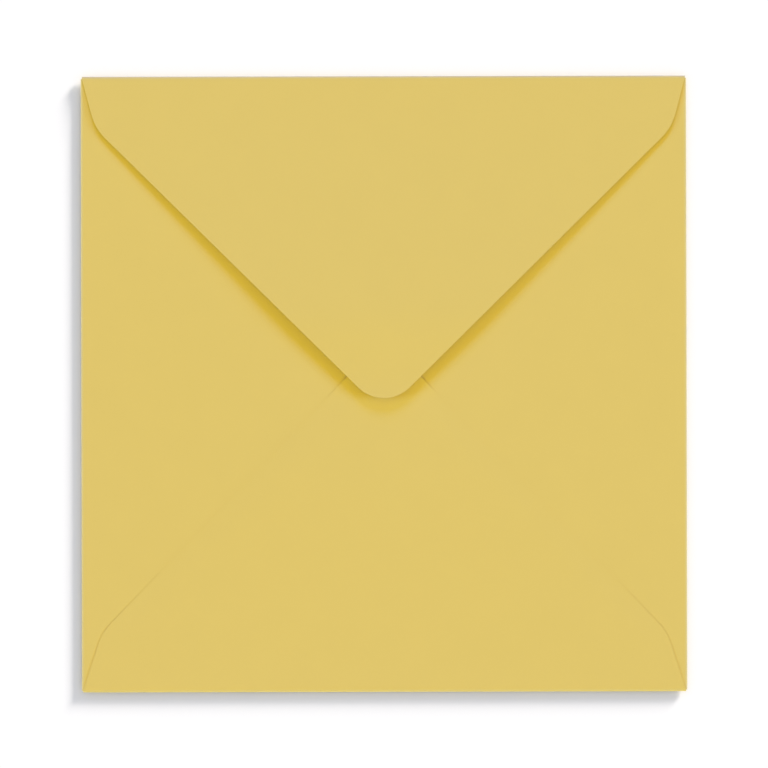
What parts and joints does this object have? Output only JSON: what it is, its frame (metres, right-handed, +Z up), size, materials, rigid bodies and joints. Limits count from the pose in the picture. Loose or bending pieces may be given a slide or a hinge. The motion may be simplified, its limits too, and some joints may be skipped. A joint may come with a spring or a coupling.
{
  "type": "square envelope",
  "caption": "Square yellow paper envelope with a pointed closing flap folded down over pointed side and bottom flaps, lying flap side up.",
  "frame": {"origin": "middle of the envelope on the surface that it lies on, under its front panel", "axes": "+Z up out of the flap side, +Y towards the fold of the closing flap, X along that fold"},
  "size_m": [0.155, 0.1576, 0.0062],
  "materials": {
    "yellow_paper": "matt uncoated yellow paper"
  },
  "bodies": {
    "root": {"envelope": "yellow_paper"}
  },
  "joints": []
}
